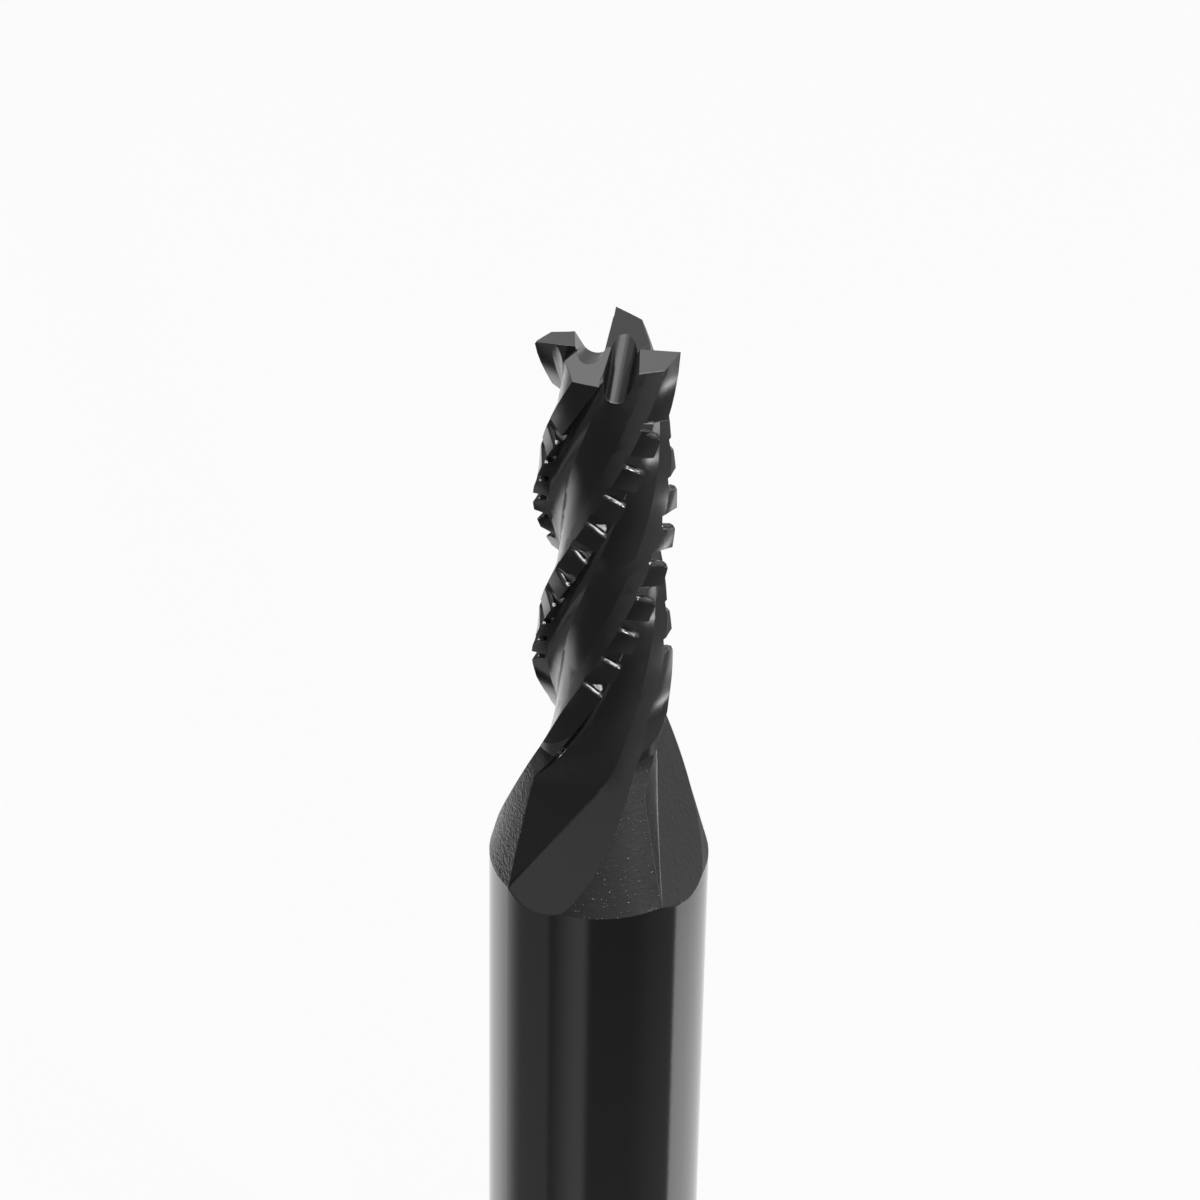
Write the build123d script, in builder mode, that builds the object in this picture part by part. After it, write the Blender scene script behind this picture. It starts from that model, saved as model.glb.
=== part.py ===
from build123d import *
from math import acos, atan2, cos, degrees, hypot, pi, radians, sin, tan
import os

os.makedirs("parts", exist_ok=True)

# A roughing end mill ground from one rod. Millimetres and degrees; +Z runs from the shank to the teeth.
# A turn is counted counter-clockwise, ahead of a cutting edge, and a depth inward from that edge.

# Main sizes
overall_length = 60.0
shank_diameter = 8.0
cutter_diameter = 5.0
reach = 22.1                # from the end of the shank to the end teeth
neck_length = 5.9           # the cone between shank and cutter
shoulder_height = 0.15      # the shank's own diameter goes this far past the start of the flutes
back_chamfer = 0.4
grinding_stock = 0.03       # left on the turned rod and ground off every land
helix_angle = 30.0
land_count = 4
edge_azimuth = -6.05        # where the first cutting edge ends at the teeth

# Flute section, from the cutting edge round to the back of the land ahead
rake_depth = 0.56
corner_depth = 0.90
corner_turn = 1.5
floor_depth = 1.00
floor_turn = 14.0
middle_depth = 0.90
middle_turn = 33.0
crease_depth = 0.65
crease_turn = 55.5
back_turn = 91.3
clear_radius = 5.5          # outside everything
overreach = 1.2             # how much further some cutters reach

# Run-out of the flute on the neck: the flat face and the bevelled face of the grinding wheel,
# which meet in a crease. They are given at the height where the wheel's rim lies in the neck.
wheel_radius = 57.0
rim_height = 2.2
rim_radius = 2.715
rim_turn = 80.2
face_turn = 109.6
face_tilt = 10.7
bevel_turn = 80.5
bevel_tilt = 27.1
run_out_start = -0.8
crease_length = 4.8
lowest_crease_depth = 0.46
lowest_crease_turn = 62.0
full_depth_height = 9.0
section_pitch = 0.6

# Relief of each land, which fades out above the neck
relief_turn = 22.0
relief_depth = 0.23
relief_start = 6.05
relief_run_out = 1.8
relief_lift = 0.30
relief_overrun = 0.25       # the cutter's share past each border of the land

# Chip breakers across each land, each row a quarter pitch higher than on the land before
notch_pitch = 1.2
notch_rows = 10
first_notch = 1.93
notch_depth = 0.485
notch_turn = 7.0
notch_floor = 0.30
notch_slope = 0.25
notch_behind = 1.7          # how far the cutter reaches each way across the land
notch_ahead = 0.7

# The worn tooth, which ends lower, has lost its corner and has no first chip breaker
worn_land = 2
end_wear = 0.07
corner_wear = 0.18

# End teeth: two long ones that meet near the centre and two short ones
end_relief = 9.5
end_dish = 0.5
long_swing = 1.5
past_centre_swing = 3.3
long_gash_radius = 0.50
past_centre_gash_radius = 0.43
long_gash_slope = 25.0
long_gash_flare = 29.0
long_gash_depth = 0.59      # below the teeth, at the centre
short_gash_radius = 0.08
short_gash_slope = 52.5
short_gash_flare = 67.0
short_gash_reach = 1.5
short_gash_depth = 0.18
short_face_reach = 2.36
gash_inward = 1.8           # how far a gash runs each way from its root point
gash_outward = 3.8
face_margin = 0.4           # the end relief's cutter: past the corner, ahead of the edge, past the land, and above
face_overlap = 0.04
face_swing = 1.5
face_height = 1.0

shoulder = overall_length - reach
cutter_radius = cutter_diameter / 2
shank_radius = shank_diameter / 2
land_step = 360 / land_count
turn_rate = 360 * tan(radians(helix_angle)) / (pi * cutter_diameter)
shoulder_azimuth = edge_azimuth - reach * turn_rate
up = Vector(0, 0, 1)


def polar(radius, angle, height=0.0):
    """The point at a radius, an angle and a height."""
    return Vector(radius * cos(radians(angle)), radius * sin(radians(angle)), height)


def mix(low, high, share):
    """A value between two others."""
    return low + (high - low) * share


# The wheel's two faces as unit normals, and the crease along which they meet
face = polar(cos(radians(face_tilt)), face_turn, sin(radians(face_tilt)))
bevel = polar(cos(radians(bevel_tilt)), bevel_turn, sin(radians(bevel_tilt)))
rim = polar(rim_radius, rim_turn, rim_height)
crease = bevel.cross(face).normalized()


def distance(normal, height):
    """How far a face stands from the axis at a height."""
    return (normal.dot(rim) - normal.Z * height) / hypot(normal.X, normal.Y)


def bow(point):
    """How far the round wheel has left its flat tangent at a point."""
    return (point - rim).dot(crease) ** 2 / (2 * wheel_radius)


def face_radius(angle, height):
    """The radius at which the wheel's flat face crosses a direction."""
    flat = distance(face, height) / cos(radians(angle - face_turn))
    return flat + bow(polar(flat, angle, height))


def opening(normal, height):
    """Half the angle that a face spans inside the clear radius."""
    return degrees(acos(distance(normal, height) / clear_radius))


def crease_point(height, turned):
    """The inner corner between the flute's floor and the back of the next land."""
    if height < crease_length:
        point = rim + crease * ((height - rim_height) / crease.Z)
        flat = Vector(point.X, point.Y)
        return flat + flat.normalized() * bow(point)
    share = min(1, (height - crease_length) / (full_depth_height - crease_length))
    depth = mix(lowest_crease_depth, crease_depth, share)
    return polar(cutter_radius - depth, turned + mix(lowest_crease_turn, crease_turn, share))


def flute_section(height):
    """The points of one flute's section, seen from the shoulder's cutting edge."""
    turned = turn_rate * height
    start = turned
    back = turned + back_turn
    if height < crease_length:
        start = max(start, face_turn - opening(face, height))
        back = max(back, bevel_turn + opening(bevel, height))
    inner = crease_point(height, turned)
    span = (degrees(atan2(inner.Y, inner.X)) - start) % 360
    share = min(1, max(0, (height - crease_length) / (full_depth_height - crease_length)))
    points = []
    for turn, depth in (
        (0, rake_depth), (corner_turn, corner_depth), (floor_turn, floor_depth), (middle_turn, middle_depth),
    ):
        angle = start + span * turn / crease_turn
        radius = cutter_radius - depth
        if height < full_depth_height:
            radius = mix(max(radius, face_radius(angle, height)), radius, share)
        points.append(polar(radius, angle))
    return points, inner, polar(clear_radius * overreach, start), polar(clear_radius, back)


with BuildPart() as flute:
    for step in range(int((reach - run_out_start + 1) / section_pitch) + 1):
        height = run_out_start + step * section_pitch
        (rake, corner, floor, middle), inner, rake_side, back_side = flute_section(height)
        with BuildSketch(Plane.XY.offset(shoulder + height).rotated((0, 0, shoulder_azimuth))):
            with BuildLine():
                Line(rake_side, rake)
                Bezier(rake, corner, floor)
                Bezier(floor, middle, inner)
                Polyline(inner, back_side, rake_side)
            make_face()
    loft()

# What the relief grinding takes off behind a cutting edge
with BuildPart() as relief:
    for step in range(int((reach - relief_start + 1) / section_pitch) + 1):
        height = relief_start + step * section_pitch
        turned = shoulder_azimuth + turn_rate * height
        lift = relief_lift * max(0, 1 - (height - relief_start) / relief_run_out) ** 2
        edge = polar(cutter_radius + lift, 0)
        heel = polar(cutter_radius - relief_depth + lift, -relief_turn)
        overrun = (edge - heel) * relief_overrun
        outer = cutter_radius * overreach
        with BuildSketch(Plane.XY.offset(shoulder + height).rotated((0, 0, turned))):
            with BuildLine():
                Polyline(
                    edge + overrun, heel - overrun,
                    polar(outer, -relief_turn * (1 + relief_overrun)), polar(outer, relief_turn * relief_overrun),
                    close=True,
                )
            make_face()
    loft()

# One chip breaker: a square wall that faces the teeth, a flat floor and a slope back up to the land.
# It runs square to the helix, falling towards the cutting edge.
with BuildPart() as notch:
    ahead = polar(1, notch_turn)
    around = polar(1, notch_turn + 90)
    along = around * sin(radians(helix_angle)) + up * cos(radians(helix_angle))
    across = around * cos(radians(helix_angle)) - up * sin(radians(helix_angle))
    drop = cutter_radius * sin(radians(notch_turn)) * tan(radians(helix_angle))
    start = ahead * (cutter_radius - notch_depth) - up * drop
    with BuildSketch(Plane(start, x_dir=along, z_dir=across).offset(-notch_behind)):
        with BuildLine():
            rise = notch_depth * overreach
            Polyline(
                (0, 0), (notch_floor, 0), (notch_floor + notch_slope * overreach, rise), (0, rise), close=True,
            )
        make_face()
    extrude(amount=notch_behind + notch_ahead)


def end_face(swing, inner):
    """What the end relief takes off behind one end tooth, whose corner is at the origin's radius."""
    inward = polar(1, 180 - swing)
    edge_plane = Plane(polar(cutter_radius, 0), x_dir=inward, z_dir=up)
    width = cutter_radius * overreach
    with BuildPart() as cutter:
        with BuildSketch(edge_plane.rotated((end_relief, -end_dish, 0))):
            with BuildLine():
                border = inner - width * tan(radians(swing + face_swing))
                Polyline(
                    (-face_margin, -face_overlap), (inner, -face_overlap), (border, width), (-face_margin, width),
                    close=True,
                )
            make_face()
        extrude(amount=face_height)
    return cutter.part


def gash(swing, slope, reach_in, depth, radius, flare):
    """A gash in front of one end tooth: a steep wall at the tooth, a round root and a flared far wall."""
    inward = polar(1, 180 - swing)
    ahead = polar(1, 90 - swing)
    outward = inward * -cos(radians(slope)) - up * sin(radians(slope))
    root = polar(cutter_radius, 0) + inward * reach_in + ahead * radius - up * depth
    low = Vector(radius * cos(radians(flare)), radius * (1 - sin(radians(flare))))
    high = low + Vector(tan(radians(flare)), 1) * cutter_radius
    with BuildPart() as cutter:
        with BuildSketch(Plane(root, x_dir=ahead, z_dir=outward).offset(-gash_inward)):
            with BuildLine():
                Polyline(low, high, (-radius, high.Y), (-radius, radius))
                CenterArc((0, radius), radius, 180, 180 - flare)
            make_face()
        extrude(amount=gash_inward + gash_outward)
    return cutter.part


long_gash = gash(
    long_swing, long_gash_slope, cutter_radius, long_gash_depth, long_gash_radius, long_gash_flare,
)
past_centre_gash = gash(
    past_centre_swing, long_gash_slope, cutter_radius, long_gash_depth, past_centre_gash_radius, long_gash_flare,
)
short_gash = gash(0, short_gash_slope, short_gash_reach, short_gash_depth, short_gash_radius, short_gash_flare)
long_face = end_face(long_swing, cutter_radius + grinding_stock)
past_centre_face = end_face(past_centre_swing, cutter_radius + grinding_stock)
short_face = end_face(0, short_face_reach)

# What is worn off the corner of one tooth
with BuildPart() as worn_corner:
    with BuildSketch(Plane((cutter_radius - corner_wear, 0, 0), x_dir=(0, 1, 0), z_dir=(1, 0, 1))):
        Rectangle(cutter_radius, cutter_radius / 2)
    extrude(amount=corner_wear * 2)

with BuildPart() as end_mill:
    with BuildSketch(Plane.XZ):
        with BuildLine():
            blank_radius = cutter_radius + grinding_stock
            blank_top = overall_length + grinding_stock
            Polyline(
                (0, 0), (shank_radius - back_chamfer, 0), (shank_radius, back_chamfer),
                (shank_radius, shoulder + shoulder_height), (blank_radius, shoulder + neck_length),
                (blank_radius, blank_top), (0, blank_top), close=True,
            )
        make_face()
    revolve(axis=Axis.Z)
    with PolarLocations(0, land_count):
        add(flute.part, mode=Mode.SUBTRACT)
        add(relief.part, mode=Mode.SUBTRACT)
    for land, (face_cutter, gash_cutter) in enumerate((
        (short_face, short_gash), (long_face, long_gash), (short_face, short_gash),
        (past_centre_face, past_centre_gash),
    )):
        with Locations(Location((0, 0, overall_length), (0, 0, edge_azimuth + land * land_step))):
            add(gash_cutter, mode=Mode.SUBTRACT)
            if land == worn_land:
                add(worn_corner.part, mode=Mode.SUBTRACT)
                add(Pos(0, 0, -end_wear) * face_cutter, mode=Mode.SUBTRACT)
            else:
                add(face_cutter, mode=Mode.SUBTRACT)
    places = []
    for land in range(land_count):
        for row in range(int(land == worn_land), notch_rows):
            later = (worn_land - land) % land_count / land_count
            height = reach - first_notch - (row + later) * notch_pitch
            azimuth = shoulder_azimuth + turn_rate * height + land * land_step
            places.append(Location((0, 0, shoulder + height), (0, 0, azimuth)))
    with Locations(*places):
        add(notch.part, mode=Mode.SUBTRACT)

end_mill.part.label = "end_mill"
export_step(end_mill.part, "parts/end_mill.step")
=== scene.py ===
from math import cos, pi, radians, sin

import bmesh
import bpy
from bpy.props import FloatProperty, FloatVectorProperty, PointerProperty
from mathutils import Matrix, Vector
from mathutils.bvhtree import BVHTree
from mathutils.kdtree import KDTree


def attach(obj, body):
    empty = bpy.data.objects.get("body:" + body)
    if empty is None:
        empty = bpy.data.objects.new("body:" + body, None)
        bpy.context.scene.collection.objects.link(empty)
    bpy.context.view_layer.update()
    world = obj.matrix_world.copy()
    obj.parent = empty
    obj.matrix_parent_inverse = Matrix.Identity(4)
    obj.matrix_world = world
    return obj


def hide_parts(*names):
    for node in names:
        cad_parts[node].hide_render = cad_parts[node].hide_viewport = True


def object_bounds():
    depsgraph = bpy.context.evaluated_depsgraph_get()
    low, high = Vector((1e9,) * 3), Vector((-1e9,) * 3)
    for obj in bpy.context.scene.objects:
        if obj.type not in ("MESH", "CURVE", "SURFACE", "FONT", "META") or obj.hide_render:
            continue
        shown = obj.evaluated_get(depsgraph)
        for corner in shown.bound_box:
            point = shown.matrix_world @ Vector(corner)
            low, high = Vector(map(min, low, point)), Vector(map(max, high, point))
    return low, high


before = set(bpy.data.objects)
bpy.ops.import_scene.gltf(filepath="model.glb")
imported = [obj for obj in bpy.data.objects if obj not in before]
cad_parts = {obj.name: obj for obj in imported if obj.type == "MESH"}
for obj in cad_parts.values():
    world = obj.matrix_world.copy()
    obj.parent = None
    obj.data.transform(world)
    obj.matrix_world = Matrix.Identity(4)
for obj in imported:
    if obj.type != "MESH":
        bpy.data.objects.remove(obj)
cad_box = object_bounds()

bl_info = {
    "name": "Roughing end mill",
    "version": (1, 0, 0),
    "blender": (4, 5, 0),
    "location": "View3D > Sidebar > End mill",
    "description": "Dresses the ground solid of a roughing end mill with broken edges and a black coating",
    "category": "Object",
}

MILLIMETRE = 0.001

# Sizes of the ground tool that its finish follows, in millimetres
SHANK_RADIUS = 4.0
CONE_FOOT = 38.05
CONE_TOP = 43.8
CUTTER_RADIUS = 2.53
TURN_RATE = 0.23096         # radians of helix to a millimetre
WORN_TOP = 57.7             # the chip breakers' edges are rounded up to this height
TEETH_FOOT = 58.0           # the end teeth stand above this height

# How the edges are told apart and broken
SHARP_ANGLE = radians(28)   # an edge that bends more than this is sharp
LAND_DEPTH = 0.35           # a chip breaker's lower edge is no deeper than this in the cutter, in millimetres
WALL_RISE = 0.75            # its wall faces up at least this far, as a cosine
LAND_FACING = 0.85          # and its land faces outward at least this far, as a cosine
WELD = 1e-7                 # points nearer than this are joined, in metres
BREAK_SEGMENTS = 2
BREAK = 1                   # material index that marks the faces of the edge breaks while the tool is made
WORN_REACH = 0.070          # how far a break may stand off the ground solid, in millimetres
TEETH_REACH = 0.015         # the same on the end teeth
CORNERS_TRIED = 24          # corners of the ground solid among which a face looks for its normal

# Where the finishes meet, in millimetres
SKIN_DEPTH = (0.02, 0.03)   # between these depths under the turned blank, its skin gives way to grinding
CONE_EDGE = 0.01            # half the width of the border between the shank and the cone
CONE_FADE = 0.5             # the cone's finish fades over this length below its top

# The coating's relief: scales of the noise to a millimetre, and heights in millimetres
NOISE_DETAIL = 3.0
MARK_STRETCH = (1.0, 1.0, 0.03)
MARK_SCALE = 9.0
MARK_FADE = (43.0, 45.0)    # the grinding marks grow finer between these heights on the tool
NECK_MARKS = 0.0070
FLUTE_MARKS = 0.0010
WAVE_SCALE = 3.0
WAVES = 0.0015
TURNING_PITCH = 0.25        # distance from one turned row on the cone to the next
TURNING_SHARE = 0.05        # how much the rows gather the dots
DOT_SCALE = 12.0
DOT_DETAIL = 1.0
DOT_RANGE = (0.69, 0.77)    # a dot rises where the noise is between these
DOTS = 0.006
DOT_POLISH = 0.4            # a dot is as smooth as the shank from this share of its height up
GRAIN_SCALE = 7.0
GRAIN = 0.004
COARSE_SIDE = (-2.8, -2.2)  # the cone's grain is coarse where x is below the first, and fine above the second
COARSE_GRAIN = 16.0
FINE_GRAIN = 1.5

# What grinding and turning add to the coating's roughness
GROUND_ROUGHNESS = 0.06
CONE_ROUGHNESS = 0.22

# The surround, in degrees from the tool: azimuth is 0 on the camera's side and 90 on its right, and elevation
# is 0 at the horizon. A step eases from one level to another: its first and last angle, then the two levels.
LEFT_SECTOR = (-130, -85, 1, 0)
RIGHT_SECTOR = (89, 92, 0, 1)
OVERHEAD = (70, 84, 0, 1)
OVERHEAD_LEVEL = 0.57
ABOVE_PIT = (-70, -60, 0, 1)    # straight below the tool the sides are dark
STRIP = ((-29, -26, 0, 1), (-22, -16, 1, 0))
FRONT_FLOOR = ((-38, -30, 1, 0),)

# The lights of each sector: steps of azimuth and steps of elevation, which multiply, and a level
SURROUND = {
    "front": {
        "left half": (((-35, 5, 1, 0),), ((-9, 7, 0.065, 0.22),), 1.0),
        "right half": (((-35, 5, 0, 1),), ((-32, 0, 0.055, 0.17),), 1.0),
        "right half, above the horizon": (((-35, 5, 0, 1),), ((0, 8, 0, 1),), 0.08),
        "floor": ((), ((-45, -38, 1, 0),), 0.045),
        "far right": (((35, 75, 0, 1),), (), 0.05),
        "high patch": (((-45, -30, 0, 1), (70, 85, 1, 0)), ((30, 42, 0, 1), (65, 75, 1, 0)), 4.0),
        "floor, left of the middle": (((-50, -18, 0, 1), (-15, -6, 1, 0)), FRONT_FLOOR, 0.15),
        "floor, far left": (((-100, -85, 0, 1), (-54, -49, 1, 0)), FRONT_FLOOR, 0.07),
    },
    "left": {
        "floor": ((), (ABOVE_PIT, (-32, -23, 1, 0.25), (-18, -9, 1, 0.3)), 1.0),
        "wall": ((), ((5, 40, 0, 1),), 0.22),
        "wall behind": (((-165, -150, 1, 0),), ((0, 15, 0, 1),), 0.7),
    },
    "right": {
        "floor": ((), (ABOVE_PIT, (-40, -38, 1, 0.15)), 1.0),
        "strip": (((92, 96, 5.0, 0.45),), STRIP, 1.0),
        "middle of the strip": (((106, 114, 0, 1), (126, 134, 1, 0)), STRIP, 0.8),
        "wall": ((), ((-16, 0, 0, 1),), 0.25),
        "wall behind": (((125, 150, 1, 0),), ((12, 40, 0, 1),), 0.7),
    },
}
PLAIN_LEVEL = 0.8           # of the light that the tool doesn't mirror

# The floor
FLOOR_REACH = 1.5           # from its middle to each side, in metres
FLOOR_SQUARES = 4
FLOOR_COLOUR = (0.9, 0.9, 0.9, 1)
FLOOR_ROUGHNESS = 0.9
FLOOR_GLOW = 0.85           # the backdrop's share of what the camera sees of it; the rest keeps the shadow

# The lamps: place, width, power, and whether the tool mirrors it; metres and watts
LAMP_TARGET = (0, 0, 0.045)
LAMPS = {
    "Key lamp": ((-0.35, -0.10, 0.45), 0.25, 1.0, False),
    "Fill lamp": ((0.40, 0.05, 0.35), 0.25, 0.5, False),
    "Spark lamp": ((0.2326, -0.2494, 0.1237), 0.036, 0.19, True),
    "Glint lamp": ((0.0930, -0.3030, 0.1930), 0.020, 0.09, True),
}

SENSOR_WIDTH = 36           # in millimetres
NEAREST_SEEN = 0.01         # in metres


# Settings
class ToolFinish(bpy.types.PropertyGroup):
    coat_colour: FloatVectorProperty(
        name="Coating", description="Colour of the coating", subtype="COLOR", size=3, min=0, max=1,
        default=(0.18, 0.18, 0.18),
    )
    coat_roughness: FloatProperty(
        name="Roughness", description="Roughness of the coating on the shank", default=0.12, min=0, max=1,
    )
    ridge_break: FloatProperty(
        name="Edge break", description="Width of the break on the outer edges",
        default=0.000012, precision=6, unit="LENGTH", subtype="DISTANCE",
    )
    worn_break: FloatProperty(
        name="Worn edges", description="Width of the rounding on the lower edge of each chip breaker",
        default=0.000190, precision=6, unit="LENGTH", subtype="DISTANCE",
    )
    crease_break: FloatProperty(
        name="Crease fillet", description="Width of the fillet in the inner corners of the end teeth",
        default=0.000060, precision=6, unit="LENGTH", subtype="DISTANCE",
    )
    run_out_break: FloatProperty(
        name="Run-out fillet", description="Width of the fillet in the flutes' corners below the cutter",
        default=0.000110, precision=6, unit="LENGTH", subtype="DISTANCE",
    )


class Studio(bpy.types.PropertyGroup):
    backdrop: FloatProperty(
        name="Backdrop", description="Brightness of the floor and the background as the camera sees them",
        default=0.956, min=0, max=1,
    )
    camera_pitch: FloatProperty(
        name="Pitch", description="How far the camera looks down",
        default=radians(36.469), subtype="ANGLE",
    )
    camera_yaw: FloatProperty(
        name="Yaw", description="How far the camera looks to the right",
        default=radians(-0.0457), subtype="ANGLE",
    )
    camera_roll: FloatProperty(
        name="Roll", description="How far the camera leans",
        default=radians(0.9609), subtype="ANGLE",
    )
    camera_place: FloatVectorProperty(
        name="Place", description="Where the camera stands", subtype="TRANSLATION", size=3, precision=6,
        default=(0.0, -0.139716, 0.152592),
    )
    camera_lens: FloatProperty(
        name="Lens", description="Focal length on a sensor 36 mm wide", default=148.42,
    )


# Node helpers
def put(tree, kind, inputs=None, **settings):
    """Adds a node with its settings, and links or sets its inputs."""
    node = tree.nodes.new(kind)
    for name, value in settings.items():
        setattr(node, name, value)
    for name, value in (inputs or {}).items():
        if isinstance(value, bpy.types.NodeSocket):
            tree.links.new(value, node.inputs[name])
        else:
            node.inputs[name].default_value = value
    return node


def sums(tree, operation, *values):
    """The result of one Math node."""
    return put(tree, "ShaderNodeMath", dict(enumerate(values)), operation=operation).outputs[0]


def product(tree, *values):
    """The values multiplied, from the first to the last."""
    result, *others = values
    for value in others:
        result = sums(tree, "MULTIPLY", result, value)
    return result


def total(tree, *values):
    """The values added, from the first to the last."""
    result, *others = values
    for value in others:
        result = sums(tree, "ADD", result, value)
    return result


def ramp(tree, value, low, high, start=0.0, end=1.0):
    """A value eased from start to end as it goes from low to high."""
    return put(tree, "ShaderNodeMapRange", {
        "Value": value, "From Min": low, "From Max": high, "To Min": start, "To Max": end,
    }, interpolation_type="SMOOTHSTEP").outputs["Result"]


def split(tree, vector):
    """The three parts of a vector."""
    return put(tree, "ShaderNodeSeparateXYZ", {"Vector": vector}).outputs


def new_group(name, takes, gives):
    """A shader node group with its sockets, its input node and its output node."""
    tree = bpy.data.node_groups.new(name, "ShaderNodeTree")
    for label, kind in takes.items():
        tree.interface.new_socket(name=label, in_out="INPUT", socket_type=kind)
    for label, kind in gives.items():
        tree.interface.new_socket(name=label, in_out="OUTPUT", socket_type=kind)
    return tree, tree.nodes.new("NodeGroupInput"), tree.nodes.new("NodeGroupOutput")


def place_group(tree, name, inputs):
    """Places the node group of that name, and links its inputs."""
    return put(tree, "ShaderNodeGroup", inputs, node_tree=bpy.data.node_groups[name])


# The surround that the coating reflects: dark on the camera's side, white at the sides and behind
def surround_group():
    """Brightness of the studio in a direction from the tool."""
    tree, given, result = new_group(
        "Studio surround", {"Direction": "NodeSocketVector"}, {"Brightness": "NodeSocketFloat"},
    )
    unit = put(tree, "ShaderNodeVectorMath", {0: given.outputs["Direction"]}, operation="NORMALIZE")
    x, y, z = split(tree, unit.outputs["Vector"])
    azimuth = sums(tree, "ARCTAN2", x, product(tree, y, -1.0))
    elevation = sums(tree, "ARCSINE", z)

    def step(angle, low, high, before, after):
        """A level eased into the next between two angles."""
        return ramp(tree, angle, radians(low), radians(high), before, after)

    def light(across, upward, level):
        """One light of the surround."""
        steps = [step(azimuth, *one) for one in across] + [step(elevation, *one) for one in upward]
        return product(tree, *steps, level)

    is_left = step(azimuth, *LEFT_SECTOR)
    is_right = step(azimuth, *RIGHT_SECTOR)
    is_front = sums(tree, "SUBTRACT", sums(tree, "SUBTRACT", 1.0, is_left), is_right)
    sectors = [
        product(tree, inside, total(tree, *(light(*one) for one in SURROUND[name].values())))
        for name, inside in (("front", is_front), ("left", is_left), ("right", is_right))
    ]
    level = put(tree, "ShaderNodeMix", {
        "Factor": step(elevation, *OVERHEAD), "A": total(tree, *sectors), "B": OVERHEAD_LEVEL,
    }).outputs["Result"]
    tree.links.new(level, result.inputs["Brightness"])


# Where each finish lies on the tool
def zones_group():
    """Masks of the shank, the rough cone and the ground flutes, and the point turned back along the helix."""
    tree, given, result = new_group("Tool zones", {"Point": "NodeSocketVector"}, {
        "Cone": "NodeSocketFloat", "Ground": "NodeSocketFloat", "Shank": "NodeSocketFloat",
        "Untwisted": "NodeSocketVector",
    })
    point = given.outputs["Point"]
    x, y, z = split(tree, point)
    radius = sums(tree, "SQRT", total(tree, product(tree, x, x), product(tree, y, y)))
    blank = put(tree, "ShaderNodeMapRange", {
        "Value": z, "From Min": CONE_FOOT, "From Max": CONE_TOP,
        "To Min": SHANK_RADIUS, "To Max": CUTTER_RADIUS,
    }).outputs["Result"]
    skin = ramp(tree, sums(tree, "SUBTRACT", blank, radius), *SKIN_DEPTH, 1.0, 0.0)
    above = ramp(tree, z, CONE_FOOT - CONE_EDGE, CONE_FOOT + CONE_EDGE)
    angle = product(tree, sums(tree, "SUBTRACT", z, CONE_TOP), -TURN_RATE)
    zones = {
        "Cone": product(tree, skin, above, ramp(tree, z, CONE_TOP - CONE_FADE, CONE_TOP, 1.0, 0.0)),
        "Ground": sums(tree, "SUBTRACT", 1.0, skin),
        "Shank": product(tree, skin, sums(tree, "SUBTRACT", 1.0, above)),
        "Untwisted": put(
            tree, "ShaderNodeVectorRotate", {"Vector": point, "Angle": sums(tree, "MINIMUM", angle, 0.0)},
            rotation_type="Z_AXIS",
        ).outputs["Vector"],
    }
    for name, value in zones.items():
        tree.links.new(value, result.inputs[name])


def coating_material(finish):
    """The black coating: polished on the shank, finely ground in the flutes and rough on the turned cone."""
    material = bpy.data.materials.new("Black coating")
    material.use_nodes = True
    tree = material.node_tree
    shader = tree.nodes["Principled BSDF"]
    shader.inputs["Base Color"].default_value = (*finish.coat_colour, 1.0)
    shader.inputs["Metallic"].default_value = 1.0
    place = put(tree, "ShaderNodeTexCoord").outputs["Object"]
    point = put(
        tree, "ShaderNodeVectorMath", {"Vector": place, "Scale": 1 / MILLIMETRE}, operation="SCALE",
    ).outputs["Vector"]
    side, _, level = split(tree, point)
    zones = place_group(tree, "Tool zones", {"Point": point}).outputs
    cone, ground, shank = zones["Cone"], zones["Ground"], zones["Shank"]
    along = put(
        tree, "ShaderNodeVectorMath", {0: zones["Untwisted"], 1: MARK_STRETCH}, operation="MULTIPLY",
    ).outputs["Vector"]

    def noise(vector, scale, detail=NOISE_DETAIL):
        """Values between 0 and 1 that change at random over the tool."""
        return put(
            tree, "ShaderNodeTexNoise", {"Vector": vector, "Scale": scale, "Detail": detail},
        ).outputs["Fac"]

    marks = product(
        tree, noise(along, MARK_SCALE), ground, ramp(tree, level, *MARK_FADE, NECK_MARKS, FLUTE_MARKS),
    )
    waves = product(tree, noise(point, WAVE_SCALE), shank, WAVES)
    rows = product(tree, sums(tree, "SINE", product(tree, level, 2 * pi / TURNING_PITCH)), TURNING_SHARE)
    dots = ramp(tree, total(tree, noise(point, DOT_SCALE, DOT_DETAIL), rows), *DOT_RANGE)
    coarseness = ramp(tree, side, *COARSE_SIDE, COARSE_GRAIN, FINE_GRAIN)
    grain = product(tree, noise(point, GRAIN_SCALE), coarseness, GRAIN)
    turned = product(tree, total(tree, product(tree, dots, DOTS), grain), cone)
    height = total(tree, marks, total(tree, waves, turned))
    bump = put(tree, "ShaderNodeBump", {"Height": height, "Distance": MILLIMETRE, "Strength": 1.0})
    tree.links.new(bump.outputs["Normal"], shader.inputs["Normal"])
    between_dots = sums(tree, "SUBTRACT", 1.0, ramp(tree, dots, 0.0, DOT_POLISH))
    added = total(
        tree, product(tree, ground, GROUND_ROUGHNESS), product(tree, cone, between_dots, CONE_ROUGHNESS),
    )
    tree.links.new(total(tree, finish.coat_roughness, added), shader.inputs["Roughness"])
    return material


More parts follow.
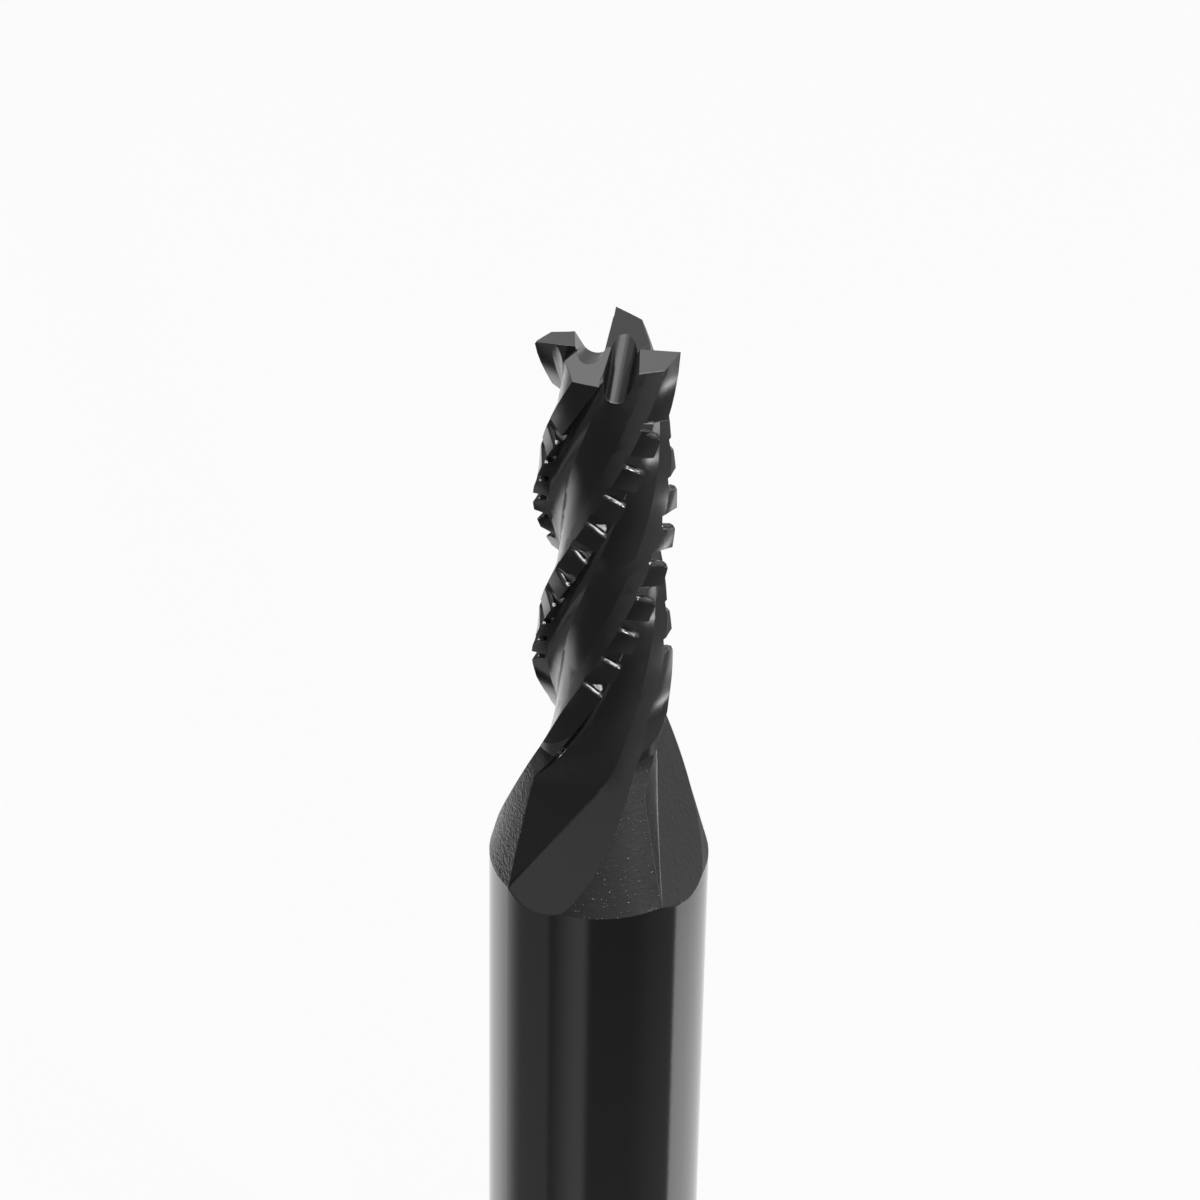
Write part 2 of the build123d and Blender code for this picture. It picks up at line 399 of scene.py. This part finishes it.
# The tool
def surface_normals(mesh):
    """The place and the true surface normal of every corner of the ground solid."""
    normals = [Vector(corner.vector) for corner in mesh.corner_normals]
    tree = KDTree(len(mesh.loops))
    for index, loop in enumerate(mesh.loops):
        tree.insert(mesh.vertices[loop.vertex_index].co, index)
    tree.balance()
    return tree, normals


def shade_as_ground(mesh, corners):
    """Gives each face the normals of the surface it lies on, and each break those of the faces beside it."""
    tree, normals = corners
    shared = {}
    found = [None] * len(mesh.loops)
    for face in mesh.polygons:
        if face.material_index == BREAK:
            continue
        for index in face.loop_indices:
            vertex = mesh.loops[index].vertex_index
            best = face.normal
            best_agreement = 0.0
            for _, corner, gap in tree.find_n(mesh.vertices[vertex].co, CORNERS_TRIED):
                agreement = normals[corner].dot(face.normal) - gap / MILLIMETRE
                if agreement > best_agreement:
                    best_agreement = agreement
                    best = normals[corner]
            found[index] = best
            shared[vertex] = shared.get(vertex, Vector()) + best
    for face in mesh.polygons:
        if face.material_index == BREAK:
            for index in face.loop_indices:
                vertex = mesh.loops[index].vertex_index
                found[index] = shared.get(vertex, mesh.vertices[vertex].normal).normalized()
    mesh.shade_smooth()
    mesh.normals_split_custom_set(found)


def hold_to_solid(mesh, solid):
    """Brings back each vertex that an edge break has thrown off the ground solid."""
    surface = BVHTree.FromPolygons(
        [vertex.co for vertex in solid.vertices], [face.vertices for face in solid.polygons],
    )
    top = cad_box[1][2]
    for vertex in mesh.vertices:
        place, _, _, gap = surface.find_nearest(vertex.co)
        reach = WORN_REACH if place.z < TEETH_FOOT * MILLIMETRE else TEETH_REACH
        if gap > reach * MILLIMETRE or vertex.co.z > top:
            vertex.co = place


def is_worn(edge):
    """Whether an edge is the lower edge of a chip breaker, between its wall and the land."""
    middle = (edge.verts[0].co + edge.verts[1].co) / 2 / MILLIMETRE
    if not edge.is_convex or not CONE_TOP < middle.z < WORN_TOP:
        return False
    outward = Vector((middle.x, middle.y, 0))
    if outward.length < CUTTER_RADIUS - LAND_DEPTH:
        return False
    outward.normalize()
    wall, land = sorted(edge.link_faces, key=lambda face: -face.normal.z)
    return wall.normal.z > WALL_RISE and land.normal.dot(outward) > LAND_FACING


def break_width(edge, finish):
    """Width of an edge's break or fillet, or nothing where it stays as it is."""
    if edge.calc_face_angle(0.0) <= SHARP_ANGLE:
        return 0.0
    if is_worn(edge):
        return finish.worn_break
    if all(CONE_TOP < end.co.z / MILLIMETRE < TEETH_FOOT for end in edge.verts):
        return 0.0
    if edge.is_convex:
        return finish.ridge_break
    if max(end.co.z for end in edge.verts) < CONE_TOP * MILLIMETRE:
        return finish.run_out_break
    return finish.crease_break


def weigh_edges(mesh, finish):
    """Joins the solid's faces and gives each edge its share of the widest break, which is returned."""
    widest = max(finish.ridge_break, finish.crease_break, finish.worn_break, finish.run_out_break)
    shape = bmesh.new()
    shape.from_mesh(mesh)
    bmesh.ops.remove_doubles(shape, verts=shape.verts, dist=WELD)
    bmesh.ops.recalc_face_normals(shape, faces=shape.faces)
    weights = shape.edges.layers.float.new("bevel_weight_edge")
    for edge in shape.edges:
        edge[weights] = break_width(edge, finish) / widest
    mesh.clear_geometry()
    shape.to_mesh(mesh)
    shape.free()
    return widest


class ENDMILL_OT_dress_tool(bpy.types.Operator):
    """Dresses the ground solid: edges broken, inner corners filleted, and the coating over all of it"""
    bl_idname = "endmill.dress_tool"
    bl_label = "Dress the tool"

    def execute(self, context):
        finish = context.scene.tool_finish
        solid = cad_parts["end_mill"].data
        mesh = solid.copy()
        corners = surface_normals(mesh)
        widest = weigh_edges(mesh, finish)
        mesh.materials.append(None)
        tool = bpy.data.objects.new("tool", mesh)
        context.scene.collection.objects.link(tool)
        breaks = tool.modifiers.new("Edge breaks", "BEVEL")
        breaks.limit_method = "WEIGHT"
        breaks.offset_type = "OFFSET"
        breaks.width = widest
        breaks.segments = BREAK_SEGMENTS
        breaks.use_clamp_overlap = False
        breaks.material = BREAK
        context.view_layer.update()
        broken = bpy.data.meshes.new_from_object(tool.evaluated_get(context.evaluated_depsgraph_get()))
        tool.modifiers.clear()
        tool.data = broken
        broken.name = "tool"
        hold_to_solid(broken, solid)
        shade_as_ground(broken, corners)
        broken.polygons.foreach_set("material_index", [0] * len(broken.polygons))
        broken.materials.clear()
        broken.materials.append(coating_material(finish))
        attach(tool, "root")
        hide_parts("end_mill")
        return {"FINISHED"}


# The studio
class ENDMILL_OT_stage(bpy.types.Operator):
    """Adds the pale floor, the white surround, the lamps and the camera"""
    bl_idname = "endmill.stage"
    bl_label = "Set the stage"

    def execute(self, context):
        studio = context.scene.studio
        scene = context.scene
        scene.view_settings.view_transform = "Standard"
        self.set_world(scene, studio)
        self.add_floor(scene, studio)
        self.add_lamps(scene)
        self.add_camera(scene, studio)
        return {"FINISHED"}

    def set_world(self, scene, studio):
        """White to the camera, the surround in reflections, and a plain level for the rest."""
        world = bpy.data.worlds.new("Studio")
        scene.world = world
        world.use_nodes = True
        tree = world.node_tree
        tree.nodes.clear()
        path = put(tree, "ShaderNodeLightPath")
        direction = put(tree, "ShaderNodeTexCoord").outputs["Generated"]
        around = place_group(tree, "Studio surround", {"Direction": direction})
        seen = put(tree, "ShaderNodeMix", {
            "Factor": path.outputs["Is Glossy Ray"], "A": PLAIN_LEVEL, "B": around.outputs["Brightness"],
        }).outputs["Result"]
        level = put(tree, "ShaderNodeMix", {
            "Factor": path.outputs["Is Camera Ray"], "A": seen, "B": studio.backdrop,
        }).outputs["Result"]
        light = put(tree, "ShaderNodeBackground", {"Color": (1, 1, 1, 1), "Strength": level})
        output = put(tree, "ShaderNodeOutputWorld")
        tree.links.new(light.outputs[0], output.inputs["Surface"])

    def add_floor(self, scene, studio):
        """A pale floor that shows white and keeps a faint shadow; the tool mirrors the surround instead."""
        shape = bmesh.new()
        bmesh.ops.create_grid(shape, x_segments=FLOOR_SQUARES, y_segments=FLOOR_SQUARES, size=FLOOR_REACH)
        mesh = bpy.data.meshes.new("floor")
        shape.to_mesh(mesh)
        shape.free()
        floor = bpy.data.objects.new("floor", mesh)
        scene.collection.objects.link(floor)
        material = bpy.data.materials.new("Pale floor")
        material.use_nodes = True
        tree = material.node_tree
        shader = tree.nodes["Principled BSDF"]
        shader.inputs["Base Color"].default_value = FLOOR_COLOUR
        shader.inputs["Roughness"].default_value = FLOOR_ROUGHNESS
        path = put(tree, "ShaderNodeLightPath")
        white = put(tree, "ShaderNodeEmission", {"Strength": studio.backdrop})
        shown = put(tree, "ShaderNodeMixShader", {
            0: product(tree, path.outputs["Is Camera Ray"], FLOOR_GLOW),
            1: shader.outputs[0], 2: white.outputs[0],
        })
        tree.links.new(shown.outputs[0], tree.nodes["Material Output"].inputs["Surface"])
        floor.visible_glossy = False
        mesh.materials.append(material)

    def add_lamps(self, scene):
        """Soft lamps left and right of the tool, and two small bright ones for the sparkle."""
        for name, (place, width, power, is_mirrored) in LAMPS.items():
            light = bpy.data.lights.new(name, "AREA")
            light.shape = "DISK"
            light.size = width
            light.energy = power
            lamp = bpy.data.objects.new(name, light)
            lamp.location = place
            lamp.rotation_euler = (Vector(place) - Vector(LAMP_TARGET)).to_track_quat("Z", "Y").to_euler()
            lamp.visible_glossy = is_mirrored
            scene.collection.objects.link(lamp)

    def add_camera(self, scene, studio):
        """The camera, as the photograph was taken."""
        lens = bpy.data.cameras.new("Camera")
        lens.lens = studio.camera_lens
        lens.sensor_width = SENSOR_WIDTH
        lens.sensor_fit = "HORIZONTAL"
        lens.clip_start = NEAREST_SEEN
        camera = bpy.data.objects.new("Camera", lens)
        pitch, yaw, roll = studio.camera_pitch, studio.camera_yaw, studio.camera_roll
        forward = Vector((sin(yaw) * cos(pitch), cos(yaw) * cos(pitch), -sin(pitch)))
        level = Vector((cos(yaw), -sin(yaw), 0))
        upright = level.cross(forward)
        right = cos(roll) * level + sin(roll) * upright
        top = cos(roll) * upright - sin(roll) * level
        camera.matrix_world = (
            Matrix.Translation(studio.camera_place) @ Matrix((right, top, -forward)).transposed().to_4x4()
        )
        scene.collection.objects.link(camera)
        scene.camera = camera


class ENDMILL_PT_panel(bpy.types.Panel):
    """Lists the tool's operators and settings"""
    bl_label = "Roughing end mill"
    bl_idname = "ENDMILL_PT_panel"
    bl_space_type = "VIEW_3D"
    bl_region_type = "UI"
    bl_category = "End mill"

    def draw(self, context):
        layout = self.layout
        for settings in (context.scene.tool_finish, context.scene.studio):
            for name in settings.__annotations__:
                layout.prop(settings, name)
        for operator in OPERATORS:
            layout.operator(operator.bl_idname)


OPERATORS = (ENDMILL_OT_dress_tool, ENDMILL_OT_stage)
CLASSES = (ToolFinish, Studio, *OPERATORS, ENDMILL_PT_panel)


def register():
    """Registers the classes and hangs the settings on the scene."""
    for one in CLASSES:
        bpy.utils.register_class(one)
    bpy.types.Scene.tool_finish = PointerProperty(type=ToolFinish)
    bpy.types.Scene.studio = PointerProperty(type=Studio)


def unregister():
    """Takes the settings and the classes away again."""
    del bpy.types.Scene.tool_finish
    del bpy.types.Scene.studio
    for one in reversed(CLASSES):
        bpy.utils.unregister_class(one)


def main():
    """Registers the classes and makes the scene."""
    register()
    surround_group()
    zones_group()
    bpy.ops.endmill.stage()
    bpy.ops.endmill.dress_tool()


if __name__ == "__main__":
    main()
